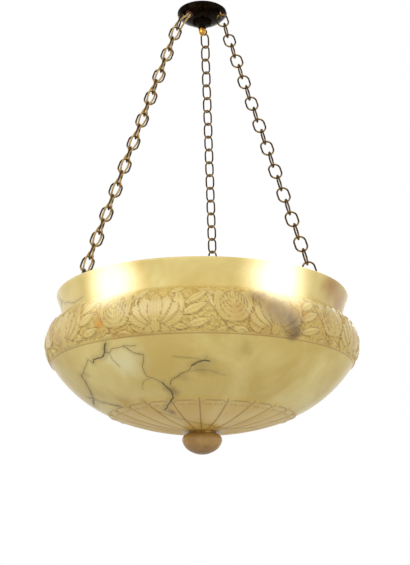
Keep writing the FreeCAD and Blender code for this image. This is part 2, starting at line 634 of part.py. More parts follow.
def core(sign, turns, near_eye, near_hook):
    """Route of one core, with the numbers of the corners where it is cut at a pivot."""
    shift = V(CORE_PAIR * sign, 0, 0)
    mouth = turned_point(bush_out, BUSH_AZIMUTH)
    through = turned_point(bush_way, BUSH_AZIMUTH)
    level = through.cross(UP).normalize()
    mouth += FreeCAD.Rotation(through, CORE_TWIST).multVec(level) * CORE_PAIR * sign
    block_face = V(block_low.x + BLOCK_SIZE[0] * 0.27, block_low.y - CLEAR, -5.0)
    route = [block_face + shift, block_face + V(-0.2, -11.7, -0.2) + shift,
             mouth - through * 4.5, mouth + through * 4.5, near_eye]
    cuts = [len(route) - 1]
    route += [woven(k, turns) for k in range(1, LINK_COUNT)]
    cuts += [len(cuts) + 4, len(route) - 1]
    route.append(near_hook)
    cuts.append(len(route) - 1)
    aside = turned_point(V(0, CORE_PAIR * sign, 0), left_azimuth)
    route += [in_bowl(*place) + aside for place in FLEX_INSIDE]
    drop = turned_point(V(GLAND_PLACE, 0, lid_foot + CLEAR), left_azimuth)
    route += [drop + UP * FLEX_DROP + aside, drop + aside]
    return route, cuts


def pieces_of(route, cuts):
    """The core's solids from one cut to the next, each cut in the middle of a corner's arc."""
    corners = rounded_corners(route)
    solids = []
    bounds = [0] + cuts + [len(route) - 1]
    for first, last in zip(bounds, bounds[1:]):
        edges = []
        point = route[0]
        if first:
            point = half_arc(edges, corners[first - 1], False)
        for number in range(first + 1, last):
            start, middle, end, radius, centre = corners[number - 1]
            edges.append(Part.LineSegment(point, start).toShape())
            edges.append(Part.Arc(start, middle, end).toShape())
            point = end
        if last == len(route) - 1:
            edges.append(Part.LineSegment(point, route[-1]).toShape())
        else:
            edges.append(Part.LineSegment(point, corners[last - 1][0]).toShape())
            half_arc(edges, corners[last - 1], True)
        solids.append(swept(edges, CORE_RADIUS))
    return solids


def half_arc(edges, corner, first_half):
    """Add the half of a corner's arc on one side of the cut, less half the gap."""
    start, middle, end, radius, centre = corner
    from_point = start if first_half else end
    swing = (from_point - centre).getAngle(middle - centre)
    share = 1 - CORE_BREAK / 2 / (radius * swing)
    axis = (from_point - centre).cross(middle - centre)

    def at(part):
        turned_to = FreeCAD.Rotation(axis, math.degrees(swing * part * share))
        return centre + turned_to.multVec(from_point - centre)

    if first_half:
        edges.append(Part.Arc(from_point, at(0.5), at(1)).toShape())
        return at(1)
    edges.append(Part.Arc(at(1), at(0.5), from_point).toShape())
    return from_point


hook_level = contacts[LINK_COUNT - 1] + down * (pitch - 2.5)
routes = [core(-1, 0, beside(contacts[0], WEAVE, WEAVE), beside(hook_level, -4.8, 4.2)),
          core(1, 2, beside(contacts[0], 0.0, 7.6), beside(hook_level, 4.0, 9.5))]
core_pieces = [pieces_of(*route) for route in routes]
for number, name in enumerate(("flex_in_canopy", "flex_at_top_link", "flex_along_chain",
                               "flex_at_bottom_link", "flex_in_bowl")):
    save(name, *[pieces[number] for pieces in core_pieces])
for route, cuts in routes:
    print("core", round(sum((b - a).Length for a, b in zip(route, route[1:]))), "long, radii",
          [round(radius, 1) for start, middle, end, radius, centre in rounded_corners(route)])
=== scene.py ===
import math

import bpy
from mathutils import Matrix, Vector, noise


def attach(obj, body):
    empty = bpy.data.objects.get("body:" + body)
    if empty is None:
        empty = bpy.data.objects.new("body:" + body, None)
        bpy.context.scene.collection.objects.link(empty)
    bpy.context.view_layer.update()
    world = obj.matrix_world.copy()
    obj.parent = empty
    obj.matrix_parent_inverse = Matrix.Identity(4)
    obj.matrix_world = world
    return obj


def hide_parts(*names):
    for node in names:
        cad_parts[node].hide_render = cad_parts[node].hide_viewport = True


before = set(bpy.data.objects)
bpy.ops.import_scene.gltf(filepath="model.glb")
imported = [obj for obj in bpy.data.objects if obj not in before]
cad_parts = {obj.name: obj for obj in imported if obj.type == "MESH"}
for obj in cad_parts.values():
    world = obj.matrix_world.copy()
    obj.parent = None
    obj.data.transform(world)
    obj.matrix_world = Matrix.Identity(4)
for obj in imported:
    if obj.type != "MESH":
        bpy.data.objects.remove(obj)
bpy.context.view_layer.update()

# Viewpoint. The photograph looks up at the bowl from 1.3 m in front of it and 0.37 m below its rim,
# and its frame is 565 pixels high on a lens of 1064 pixels.

bpy.ops.object.camera_add(location=(0, -1.325, -0.784), rotation=(math.radians(106.44), 0, 0))
camera = bpy.context.object
camera.data.sensor_fit = "VERTICAL"
camera.data.sensor_height = 36
camera.data.lens = 67.8
camera.data.shift_x = 0.005
bpy.context.scene.camera = camera
bpy.context.scene.view_settings.view_transform = "Standard"

# Flex. Two cores, each a wire in a braided gold cotton sleeve, leave the terminal block through the
# bush, wind down through the left chain and run inside the bowl to the lid of the cluster.

RIM = -416.54              # height of the bowl's rim; routes and sizes are in millimetres
LEFT, BUSH = -156.5, -137.5           # azimuths of the left chain and of the bush
PITCH = 18.3               # from one link's contact to the next
CORE_RADIUS = 0.00125      # of one covered core, in metres
APART = 1.5                # half the distance between the cores where they run side by side
PLAIT_TURNS = 2400.0       # lean of the braid: 2.6 mm of sleeve a turn
ROLL = 66.5                # turn of the chain's first link about its length


def colour(code):
    """An sRGB hex value as the linear colour that a shader takes."""
    parts = [int(code[k:k + 2], 16) / 255 for k in (1, 3, 5)]
    return tuple(p / 12.92 if p < 0.04045 else ((p + 0.055) / 1.055) ** 2.4 for p in parts) + (1.0,)


def add(tree, kind, inputs=None, **settings):
    """Add a node to a tree, with its settings and with each input set or linked."""
    made = tree.nodes.new("ShaderNode" + kind)
    for name, value in settings.items():
        setattr(made, name, value)
    for key, value in (inputs or {}).items():
        if isinstance(value, bpy.types.NodeSocket):
            tree.links.new(value, made.inputs[key])
        else:
            made.inputs[key].default_value = value
    return made


def new_material(name):
    """A material with its tree and its shader."""
    made = bpy.data.materials.new(name)
    made.use_nodes = True
    return made, made.node_tree, made.node_tree.nodes["Principled BSDF"]


def turned(point, azimuth):
    """A point turned about the lamp's axis."""
    return Matrix.Rotation(math.radians(azimuth), 3, "Z") @ Vector(point)


down = Vector((0.31443, 0, -0.94928))
contacts = [Vector((32.016, 0, -14.144)) + down * PITCH * k for k in range(24)]


def beside(place, forward, across):
    """Point beside the left chain, to its front and to its right."""
    way = [Vector((-down.z * math.cos(roll), math.sin(roll), down.x * math.cos(roll)))
           for roll in (math.radians(ROLL), math.radians(ROLL + 90))]
    return turned(place + way[0] * forward + way[1] * across, LEFT)


def woven(number, turns):
    """Place of a core where two links meet, a quarter turn further at each link."""
    angle = math.radians(45 - 90 * (number + turns))
    reach = 5.1 + 1.5 * math.sin(1.3 * number + turns) ** 2
    return beside(contacts[number], reach * math.cos(angle), reach * math.sin(angle))


def smooth_line(route):
    """Points of the smooth line that a route's points control."""
    data = bpy.data.curves.new("route", "CURVE")
    data.dimensions = "3D"
    spline = data.splines.new("NURBS")
    spline.points.add(len(route) - 1)
    for point, place in zip(spline.points, route):
        point.co = (place.x / 1000, place.y / 1000, place.z / 1000, 1)
    spline.order_u = 3
    spline.use_endpoint_u = True
    spline.resolution_u = 14
    holder = bpy.data.objects.new("route", data)
    bpy.context.collection.objects.link(holder)
    mesh = bpy.data.meshes.new_from_object(holder)
    line = [vertex.co.copy() for vertex in mesh.vertices]
    bpy.data.objects.remove(holder)
    bpy.data.meshes.remove(mesh)
    return line


def sleeve(name, lines, radius, sides=12):
    """Round tubes along lines. The UV map counts turns round the tube and metres along it."""
    places, faces, turns = [], [], []
    for line in lines:
        side = (line[1] - line[0]).orthogonal().normalized()
        base, run = len(places), 0.0
        for number, place in enumerate(line):
            way = (line[min(number + 1, len(line) - 1)] - line[max(number - 1, 0)]).normalized()
            side = (side - way * side.dot(way)).normalized()
            reach = radius * (0.6 if number in (0, len(line) - 1) else 1.0)
            for k in range(sides):
                angle = math.tau * k / sides
                places.append(place + (side * math.cos(angle) + way.cross(side) * math.sin(angle)) * reach)
            if number:
                step = (place - line[number - 1]).length
                row = base + (number - 1) * sides
                for k in range(sides):
                    after = (k + 1) % sides
                    faces.append((row + k, row + after, row + sides + after, row + sides + k))
                    turns.append(((k / sides, run), ((k + 1) / sides, run), ((k + 1) / sides, run + step),
                                  (k / sides, run + step)))
                run += step
        last = base + (len(line) - 1) * sides
        faces += [tuple(range(base + sides - 1, base - 1, -1)), tuple(range(last, last + sides))]
        turns += [((0, 0),) * sides] * 2
    mesh = bpy.data.meshes.new(name)
    mesh.from_pydata(places, [], faces)
    layer = mesh.uv_layers.new(name="round_and_along")
    for polygon, corners in zip(mesh.polygons, turns):
        polygon.use_smooth = len(corners) == 4
        for corner, place in zip(polygon.loop_indices, corners):
            layer.data[corner].uv = place
    made = bpy.data.objects.new(name, mesh)
    bpy.context.collection.objects.link(made)
    return made


mouth, through = turned((24.0, 0, -9.61), BUSH), turned((0.44, 0, -0.898), BUSH)
level = through.cross((0, 0, 1)).normalized()
last = contacts[22] + down * 15.8
stretches = []
for sign, turns, near_eye, near_hook in ((-1, 0, beside(contacts[0], 3.6, 3.6), beside(last, -4.8, 4.2)),
                                         (1, 2, beside(contacts[0], 0, 7.6), beside(last, 4.0, 9.5))):
    apart = Matrix.Rotation(math.radians(120), 3, through) @ level * APART * sign
    shift, aside = Vector((APART * sign, 0, 0)), turned((0, APART * sign, 0), LEFT)
    route = [Vector((-14.22, 8.7, -5)) + shift, Vector((-14.42, -3, -5.2)) + shift,
             mouth + apart - through * 4.5, mouth + apart + through * 4.5, near_eye]
    route += [woven(k, turns) for k in range(1, 23)] + [near_hook]
    route += [turned((x, y, RIM + z), LEFT) + aside for x, y, z in (
        (150, -14, -18), (141, -26, -44), (115, -31, -62), (78, -24, -66), (44, -12, -60), (22, -3, -53))]
    route += [turned((14, 0, height), LEFT) + aside for height in (-479.24, -486.24)]
    line = smooth_line(route)
    pivots = [min(range(len(line)), key=lambda n: (line[n] * 1000 - route[k]).length) for k in (4, 5, 26, 27)]
    ends = [0] + pivots + [len(line) - 1]
    stretches.append([line[max(a - 1, 0):b + 2] for a, b in zip(ends, ends[1:])])

cotton, tree, shader = new_material("braided gold cotton")
turn = add(tree, "SeparateXYZ", {0: add(tree, "UVMap", uv_map="round_and_along").outputs[0]})
weaves = []
for lean in (1, -1):
    part = add(tree, "Math", {0: turn.outputs["Y"], 1: PLAIT_TURNS * lean}, operation="MULTIPLY")
    part = add(tree, "Math", {0: turn.outputs["X"], 1: math.tau * 5, 2: part.outputs[0]},
               operation="MULTIPLY_ADD")
    weaves.append(add(tree, "Math", {0: part.outputs[0]}, operation="SINE").outputs[0])
strand = add(tree, "Math", {0: weaves[0], 1: weaves[1]}, operation="MAXIMUM")
thread = add(tree, "ValToRGB", {0: strand.outputs[0]})
thread.color_ramp.elements[0].position = 0.2
thread.color_ramp.elements[0].color = colour("#9A7636")
thread.color_ramp.elements[1].position = 0.9
thread.color_ramp.elements[1].color = colour("#EBCB86")
worn = add(tree, "TexCoord").outputs["Object"]
worn = add(tree, "TexNoise", {"Vector": worn, "Scale": 60.0, "Detail": 3.0})
worn = add(tree, "MapRange", {"Value": worn.outputs["Fac"], "From Min": 0.5, "From Max": 0.75, "To Max": 0.5})
thread = add(tree, "Mix", {0: worn.outputs[0], 6: thread.outputs[0], 7: colour("#A98649")}, data_type="RGBA")
bump = add(tree, "Bump", {"Strength": 0.8, "Distance": 0.0003, "Height": strand.outputs[0]})
tree.links.new(thread.outputs[2], shader.inputs["Base Color"])
tree.links.new(bump.outputs[0], shader.inputs["Normal"])
shader.inputs["Roughness"].default_value = 0.75
shader.inputs["Sheen Weight"].default_value = 0.3
for number, (node, body) in enumerate((
        ("flex_in_canopy", "canopy"), ("flex_at_top_link", "left_top_link"),
        ("flex_along_chain", "left_chain"), ("flex_at_bottom_link", "left_bottom_link"),
        ("flex_in_bowl", "bowl"))):
    piece = sleeve("braided_" + node, [core[number] for core in stretches], CORE_RADIUS)
    piece.data.materials.append(cotton)
    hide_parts(node)
    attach(piece, body)

# Studio. A pale floor far below the lamp, a white surround that only the camera and reflections
# see, and three large soft lights.

world = bpy.data.worlds.new("studio")
bpy.context.scene.world = world
world.use_nodes = True
sky = world.node_tree
path = add(sky, "LightPath")
seen = add(sky, "Math", {0: path.outputs["Is Camera Ray"], 1: path.outputs["Is Glossy Ray"]},
           operation="MAXIMUM")
seen = add(sky, "Math", {0: seen.outputs[0], 1: path.outputs["Is Transmission Ray"]}, operation="MAXIMUM")
light = add(sky, "Background", {"Color": colour("#FFFDF8"), "Strength": 0.42})
white = add(sky, "Background", {"Color": colour("#FFFFFF"), "Strength": 1.0})
both = add(sky, "MixShader", {0: seen.outputs[0], 1: light.outputs[0], 2: white.outputs[0]})
sky.links.new(both.outputs[0], sky.nodes["World Output"].inputs["Surface"])

bpy.ops.mesh.primitive_plane_add(size=8, location=(0, 0, -0.95))
floor = bpy.context.object
floor.name = "studio_floor"
paint, tree, shader = new_material("matt white floor paint")
shader.inputs["Base Color"].default_value = colour("#E9E8E4")
shader.inputs["Roughness"].default_value = 0.9
floor.data.materials.append(paint)

for name, place, size, power in (("key", (-1.3, -1.6, 0.5), 1.6, 25), ("fill", (1.6, -1.2, -0.2), 1.8, 13),
                                 ("back", (0.4, 1.8, 0.9), 1.6, 16)):
    bpy.ops.object.light_add(type="AREA", location=place)
    lamp = bpy.context.object
    lamp.name = name
    lamp.data.size = size
    lamp.data.energy = power
    lamp.rotation_euler = (Vector((0, 0, -0.4)) - Vector(place)).to_track_quat("-Z", "Y").to_euler()

# Alabaster bowl. A block of alabaster is turned to a 12 mm wall, with a lip, a hollow neck and a
# rounded body. A frieze of roses is carved round it, and 22 long petals round its foot.

NECK, FRIEZE, FLANK, FOOT = 32.0, 92.0, 148.0, 171.0       # depth of the foot of each band
WALL = 12.0
PETALS = 22
COLUMNS = PETALS * 36
PETAL_TURN = -91.5         # azimuth of a rib near the front


def arc(start, end, bulge, steps):
    """Points of an arc after its start, standing out by the bulge to the left of the way."""
    (r0, z0), (r1, z1) = start, end
    run = math.hypot(r1 - r0, z1 - z0)
    side = (-(z1 - z0) / run, (r1 - r0) / run)
    radius = (run * run / 4 + bulge * bulge) / (2 * bulge)
    centre = ((r0 + r1) / 2 - side[0] * (radius - bulge), (z0 + z1) / 2 - side[1] * (radius - bulge))
    first = math.atan2(z0 - centre[1], r0 - centre[0])
    sweep = math.atan2(z1 - centre[1], r1 - centre[0]) - first
    sweep = (sweep + math.pi) % (2 * math.pi) - math.pi
    return [(centre[0] + abs(radius) * math.cos(first + sweep * k / steps),
             centre[1] + abs(radius) * math.sin(first + sweep * k / steps)) for k in range(1, steps + 1)]


def straight(start, end, steps):
    return [(start[0] + (end[0] - start[0]) * k / steps, start[1] + (end[1] - start[1]) * k / steps)
            for k in range(1, steps + 1)]


lip_out, waist, body = (186.2, RIM - 2.2), (177.6, RIM - NECK), (187.5, RIM - FRIEZE)
flank_foot, petal_top, foot = (120.0, RIM - FLANK), (117.4, RIM - FLANK - 2.6), (24.0, RIM - FOOT)
lip = arc((184.0, RIM), lip_out, 0.9, 3)
neck = arc(lip[-1], waist, -1.2, 7)
frieze = arc(neck[-1], body, 15.2, 51)
flank = arc(frieze[-1], flank_foot, 6.0, 11)
petals = arc(petal_top, foot, 4.0, 60)
petals = [petal_top] + petals[:11] + petals[11:51:4] + petals[51::2]
hole = straight(foot, (4.5, RIM - FOOT), 2) + straight((4.5, RIM - FOOT), (4.5, RIM - FOOT + WALL), 1)
floor_in = straight(hole[-1], (24.0, RIM - FOOT + WALL), 1)
flank_in, body_in = (114.6, RIM - FLANK + 10.7), (176.3, RIM - FRIEZE + 4.2)
inside = arc(floor_in[-1], flank_in, -4.0, 4) + arc(flank_in, body_in, -6.0, 4)
inside += arc(body_in, (165.6, RIM - NECK), -15.2, 6) + arc((165.6, RIM - NECK), (174.2, RIM - 2.2), 1.2, 3)
inside += arc((174.2, RIM - 2.2), (176.4, RIM), 0.9, 2) + [(184.0, RIM)]
section = lip + neck + frieze + flank + petals + hole + floor_in + inside


def outside(below):
    """Radius of the outer surface at a depth below the rim."""
    way = [lip_out] + neck + frieze + flank + petals
    for (r0, z0), (r1, z1) in zip(way, way[1:]):
        if z1 <= RIM - below <= z0:
            return r0 + (r1 - r0) * (z0 - RIM + below) / (z0 - z1)
    return foot[0]


def run_to(below):
    """Distance down the outer surface from the rim to a depth below it, in metres."""
    way, run = [(184.0, RIM)] + lip + neck + frieze + flank + petals, 0.0
    for (r0, z0), (r1, z1) in zip(way, way[1:]):
        part = 1.0 if RIM - below <= z1 else max(0.0, (z0 - RIM + below) / (z0 - z1))
        run += part * math.hypot(r1 - r0, z1 - z0)
    return run / 1000


def flat(azimuth, below):
    """The same place on the surface laid out flat: metres round from the front, and down from the rim."""
    return Vector((math.radians((azimuth + 270) % 360 - 180) * 0.16, run_to(below), 0))


def on_bowl(azimuth, below):
    """Place on the outer surface, in metres, by azimuth in degrees and depth below the rim."""
    reach = outside(below)
    return Vector((reach * math.cos(math.radians(azimuth)), reach * math.sin(math.radians(azimuth)),
                   RIM - below)) / 1000


REPEAT = 360 / 9           # degrees from one rose to the next
ROSE_TURN = -80.0
REPEAT_WIDTH = math.radians(REPEAT) * 187

# The carver's shapes in one repeat, the later over the earlier: place across and down, lean in
# degrees, half length, half width, height, and whether it is a pointed leaf
SHAPES = [
    (-19, 34, 62, 24, 3.4, 0.5, True), (-28, 14, 18, 13, 4.0, 0.6, True), (-39, 23, -34, 17, 5.0, 0.6, True),
    (-41, 37, -24, 17, 5.5, 0.8, True), (-37, 52, -14, 16, 4.6, 0.6, True), (-57, 30, 82, 19, 6.0, 0.7, True),
    (-60, 55, 6, 13, 4.6, 0.7, True), (-60, 12, -22, 11, 4.2, 0.6, True), (26, 30, 97, 20, 2.2, 0.4, True),
    (31, 15, -38, 12, 4.2, 0.7, True), (27, 56, 28, 12, 4.6, 0.7, True), (9, 59, 8, 12, 3.8, 0.7, True),
    (-13, 60, -10, 11, 3.4, 0.5, True), (62, 60, -8, 10, 3.6, 0.5, True),
    (-12, 31, 80, 20, 8.5, 0.5, False), (12, 31, 100, 20, 8.5, 0.6, False), (0, 44, 0, 16, 8.0, 0.7, False),
    (0, 31, 90, 16.5, 14.0, 0.8, False), (0, 28, 90, 14.0, 11.0, 1.0, False),
    (0, 25, 90, 11.5, 8.2, 1.2, False), (0, 22, 90, 9.0, 5.6, 1.4, False), (0, 19, 90, 6.0, 3.2, 1.5, False),
]
for lean in (-168, -12, -145, -35, -120, -60, -90):
    SHAPES.append((48 + 15 * math.cos(math.radians(lean)), 50 + 15 * math.sin(math.radians(lean)), lean, 16,
                   8.5, 0.9 + 0.3 * math.sin(math.radians(-lean)), False))
SHAPES += [(40, 57, 150, 9, 4.5, 1.2, False), (56, 57, 30, 9, 4.5, 1.2, False),
           (48, 54, 90, 7, 6.0, 1.5, False)]
SHAPES = [(x, y, math.cos(math.radians(lean)), math.sin(math.radians(lean)), *rest)
          for x, y, lean, *rest in SHAPES][::-1]


def carved(across, down_it):
    """Relief at a place of one repeat: its height, its cut line and its raised part."""
    line = 0.0
    for x, y, cosine, sine, long, wide, height, pointed in SHAPES:
        right = (across - x + REPEAT_WIDTH / 2) % REPEAT_WIDTH - REPEAT_WIDTH / 2
        if abs(right) > long + 1:
            continue
        s = right * cosine + (down_it - y) * sine
        t = (down_it - y) * cosine - right * sine
        share = abs(s / long)
        if share >= 1:
            continue
        edge = wide * (1 - share ** 1.6 if pointed else math.sqrt(1 - share * share))
        within = edge - abs(t)
        if within < -0.8:
            continue
        line = max(line, 1 - abs(within) / 0.8)
        if within > 0:
            if pointed:
                vein = max(0.0, 1 - abs(t) / 0.6) * (share < 0.85)
                return height + min(within, 1.5) * 0.35 - 0.3 * vein, max(line, 0.6 * vein), 1.0
            hatch = math.cos(t * 2.2) * 0.08
            return height + 0.55 * (1 - min(within / wide, 1)) ** 2 + hatch, max(line, 0.15 + 2 * hatch), 1.0
    return 0.0, line, 0.0


bpy.ops.object.select_all(action="DESELECT")
bpy.ops.mesh.primitive_circle_add(vertices=len(section), radius=0.1)
bowl = bpy.context.object
bowl.name = "carved_bowl"
for vertex, (reach, height) in zip(bowl.data.vertices, section):
    vertex.co = (reach / 1000, 0, height / 1000)
bpy.ops.object.mode_set(mode="EDIT")
bpy.ops.mesh.select_all(action="SELECT")
bpy.ops.mesh.spin(steps=COLUMNS, angle=math.tau, center=(0, 0, 0), axis=(0, 0, 1))
bpy.ops.mesh.select_all(action="SELECT")
bpy.ops.mesh.remove_doubles(threshold=0.00002)
bpy.ops.mesh.normals_make_consistent(inside=False)
bpy.ops.object.mode_set(mode="OBJECT")

# The carving moves the points of the turned mesh in and out by up to 2 mm. The cut lines and the
# raised parts are kept as attributes, because dirt and wax lie in the lines, and so is the run down
# the outside, on which the seams and stains are laid.

noise.seed_set(11)         # so that the carver's hand wanders in the same way on every run
rows = {}
for band, points in (("frieze", [neck[-1]] + frieze), ("petals", petals)):
    run = 0.0
    for before, point in zip([points[0]] + points, points):
        step = math.hypot(point[0] - before[0], point[1] - before[1])
        run += step
        side = (1.0, 0.0) if not step else ((before[1] - point[1]) / step, (point[0] - before[0]) / step)
        rows[round(point[0], 2), round(point[1], 2)] = (band, run, side)
frieze_length = sum(math.hypot(b[0] - a[0], b[1] - a[1]) for a, b in zip([neck[-1]] + frieze, frieze))
cuts = [0.0] * len(bowl.data.vertices)
raises = [0.0] * len(bowl.data.vertices)
runs = [0.0] * len(bowl.data.vertices)
run_at = {}
for number, vertex in enumerate(bowl.data.vertices):
    x, y, z = vertex.co * 1000
    reach = math.hypot(x, y)
    if round(z, 2) not in run_at:
        run_at[round(z, 2)] = run_to(RIM - z)
    runs[number] = run_at[round(z, 2)]
    found = rows.get((round(reach, 2), round(z, 2)))
    if not found:
        continue
    band, run, side = found
    azimuth = math.degrees(math.atan2(y, x))
    if band == "frieze":
        across = (azimuth - ROSE_TURN) / REPEAT * REPEAT_WIDTH
        wander = noise.noise_vector(vertex.co * 30)
        height, line, raised = carved(across + wander.x * 3, run * 66 / frieze_length + wander.y * 2)
        height += 0.12 * noise.noise(vertex.co * 900) * (1 - raised)
        fillet = max(0, 1 - abs(run - 1.5) / 1.5)
        groove = max(0, 1 - abs(run - 3.6) / 1.0, 1 - abs(run - frieze_length + 3.0) / 1.2)
        fade = min(1.0, max(0.0, (run - 4) / 2), max(0.0, (frieze_length - 4 - run) / 2))
        out = 0.5 * fillet + (height * 1.15 - 0.45 - 0.5 * line) * fade - 0.5 * groove
        cuts[number] = max(line * fade, 0.8 * groove)
        raises[number] = max(raised * fade, 1 - fade)
    else:
        share = (azimuth - PETAL_TURN) / (360 / PETALS) % 1
        off_rib = min(share, 1 - share) * math.tau * reach / PETALS
        middle = (share - 0.5) * math.tau * reach / PETALS
        top = 116.0 - 8 * abs(2 * share - 1) ** 5
        bead = max(0, 1 - ((off_rib - 2.2) / 1.2) ** 2)
        groove = max(0, 1 - off_rib / 1.1)
        rim_line = max(0, 1 - abs(reach - top) / 1.2) if off_rib > 1.0 else 0
        wave = 107.5 + 1.6 * math.cos(middle * 1.3) * min(1, abs(middle) / 4)
        marks = max(0, 1 - abs(reach - wave) / 1.0) if 1.5 < abs(middle) < 12 else 0
        swell = 0.8 * math.sin(math.pi * share) if reach < top else 0.9
        fade = min(1.0, max(0.0, (reach - 26) / 12))
        out = (swell + 0.5 * bead - 0.55 * groove - 0.5 * rim_line - 0.4 * marks - 0.7) * fade
        cuts[number] = max(groove, rim_line * 0.8, marks * 0.9) * min(1.0, fade + 0.4)
    vertex.co += Vector((side[0] * x / reach, side[0] * y / reach, side[1])) * out / 1000
for name, values in (("cut_line", cuts), ("raised", raises), ("run", runs)):
    bowl.data.attributes.new(name, "FLOAT", "POINT").data.foreach_set("value", values)
for polygon in bowl.data.polygons:
    polygon.use_smooth = True
bpy.ops.object.shade_smooth_by_angle(angle=math.radians(50))

# Polished alabaster. It is a soft translucent stone, cream to honey with brown seams and clouds.
# The light of the lamps inside is painted on it as emission, most of all on the thin neck.

alabaster, tree, shader = new_material("polished honey alabaster")
place = add(tree, "TexCoord").outputs["Object"]
parts = add(tree, "SeparateXYZ", {0: place})
behind = add(tree, "Math", {0: parts.outputs[1], 1: -1.0}, operation="MULTIPLY")
turn = add(tree, "Math", {0: parts.outputs[0], 1: behind.outputs[0]}, operation="ARCTAN2")
turn = add(tree, "Math", {0: turn.outputs[0], 1: 0.16}, operation="MULTIPLY")
run = add(tree, "Attribute", attribute_name="run").outputs["Fac"]
laid = add(tree, "CombineXYZ", {0: turn.outputs[0], 1: run}).outputs[0]
moved = []
for scale, amount in ((55.0, 0.009), (16.0, 0.04)):
    wobble = add(tree, "TexNoise", {"Vector": place, "Scale": scale, "Detail": 5.0, "Roughness": 0.6})
    wobble = add(tree, "VectorMath", {0: wobble.outputs["Color"], 1: (0.5, 0.5, 0.5)}, operation="SUBTRACT")
    laid = add(tree, "VectorMath", {0: wobble.outputs[0], 1: (amount, amount, 0), 2: laid},
               operation="MULTIPLY_ADD").outputs[0]
    moved.append(laid)
warped, drifted = moved
high = parts.outputs["Z"]

clouds = add(tree, "TexNoise", {"Vector": place, "Scale": 11.0, "Distortion": 0.8, "Detail": 5.0,
                                "Roughness": 0.55})
stone = add(tree, "ValToRGB", {0: clouds.outputs["Fac"]})
stone.color_ramp.elements[0].position = 0.36
stone.color_ramp.elements[0].color = colour("#C9AE5E")
stone.color_ramp.elements[1].position = 0.66
stone.color_ramp.elements[1].color = colour("#DFCE88")
made = stone.outputs[0]

# Seams, by azimuth in degrees and depth below the rim in millimetres, with their width and strength
SEAMS = (
    (1.6, 1.0, ((-126, 93), (-128, 101), (-130, 104), (-135, 106), (-136, 109))),
    (0.9, 0.7, ((-136, 109), (-138, 104), (-142, 110), (-149, 117))),
    (1.7, 1.0, ((-149, 117), (-151, 124), (-154, 131), (-160, 137))),
    (2.2, 1.0, ((-160, 137), (-166, 139), (-174, 141))),
    (1.5, 1.0, ((-165, 134), (-160, 137), (-158, 142), (-153, 146), (-145, 151))),
    (0.8, 0.7, ((-128, 101), (-126, 102), (-124, 99), (-119, 99), (-114, 98))),
    (0.9, 0.8, ((-119, 99), (-115, 106), (-112, 109))),
    (0.7, 0.6, ((-126, 102), (-126, 108), (-124, 117))),
    (0.8, 0.7, ((-112, 109), (-114, 119), (-114, 128), (-112, 130), (-108, 135))),
    (1.8, 1.0, ((-108, 135), (-106, 143), (-106, 149), (-110, 153), (-117, 158))),
    (0.6, 0.5, ((-112, 130), (-117, 132), (-119, 136), (-120, 140))),
    (0.9, 0.8, ((-105, 137), (-103, 133), (-99, 128), (-95, 124), (-94, 121))),
    (1.8, 0.95, ((-94, 121), (-92, 118), (-89, 116), (-87, 117))),
    (0.7, 0.5, ((-101, 112), (-94, 114), (-89, 116), (-88, 112))),
    (0.7, 0.4, ((-96, 127), (-91, 124), (-85, 126), (-80, 129))),
    (1.2, 0.7, ((-123, 159), (-112, 165), (-96, 168), (-64, 170), (-35, 170), (-2, 166))),
    (0.8, 0.6, ((-169, 8), (-160, 20), (-150, 29), (-143, 26))),
    (1.4, 0.8, ((25, 100), (33, 112), (30, 124), (40, 139), (52, 146))),
    (0.9, 0.6, ((33, 112), (44, 110), (57, 117), (66, 113))),
    (1.2, 0.7, ((130, 98), (122, 110), (127, 124), (116, 137), (121, 152))),
)
near = None
for width, strength, trace in SEAMS:
    ends = [flat(*point) for point in trace]
    closest = None
    for start, end in zip(ends, ends[1:]):
        way = end - start
        part = add(tree, "VectorMath", {0: warped, 1: way / way.length_squared}, operation="DOT_PRODUCT")
        part = add(tree, "Math", {0: part.outputs["Value"], 1: start.dot(way) / way.length_squared},
                   operation="SUBTRACT", use_clamp=True)
        point = add(tree, "VectorMath", {0: part.outputs[0], 1: way, 2: start}, operation="MULTIPLY_ADD")
        gap = add(tree, "VectorMath", {0: warped, 1: point.outputs[0]}, operation="DISTANCE").outputs["Value"]
        closest = gap if closest is None else add(tree, "Math", {0: closest, 1: gap},
                                                  operation="MINIMUM").outputs[0]
    mark = add(tree, "MapRange", {"Value": closest, "From Min": 0.0, "From Max": width / 1000,
                                  "To Min": strength, "To Max": 0.0},
               interpolation_type="SMOOTHSTEP").outputs[0]
    halo = add(tree, "MapRange", {"Value": closest, "From Min": 0.0, "From Max": 0.006 * width,
                                  "To Min": strength * 0.4, "To Max": 0.0},
               interpolation_type="SMOOTHSTEP").outputs[0]
    if near is None:
        near, around = mark, halo
    else:
        near = add(tree, "Math", {0: near, 1: mark}, operation="MAXIMUM").outputs[0]
        around = add(tree, "Math", {0: around, 1: halo}, operation="MAXIMUM").outputs[0]

# The frieze is left rough between its flowers and has darkened to gold there
band_top = add(tree, "MapRange", {"Value": high, "From Min": (RIM - NECK) / 1000,
                                  "From Max": (RIM - NECK - 2) / 1000})
band_foot = add(tree, "MapRange", {"Value": high, "From Min": (RIM - FRIEZE) / 1000,
                                   "From Max": (RIM - FRIEZE + 3) / 1000})
band = add(tree, "Math", {0: band_top.outputs[0], 1: band_foot.outputs[0]}, operation="MULTIPLY").outputs[0]
raised = add(tree, "Attribute", attribute_name="raised").outputs["Fac"]
ground = add(tree, "Math", {0: 1.0, 1: raised}, operation="SUBTRACT", use_clamp=True).outputs[0]
ground = add(tree, "Math", {0: band, 1: ground}, operation="MULTIPLY").outputs[0]
grit = add(tree, "TexNoise", {"Vector": place, "Scale": 330.0, "Detail": 2.0})      # 3 mm tool marks
gold = add(tree, "ValToRGB", {0: grit.outputs["Fac"]})
gold.color_ramp.elements[0].position = 0.38
gold.color_ramp.elements[0].color = colour("#9C762C")
gold.color_ramp.elements[1].position = 0.6
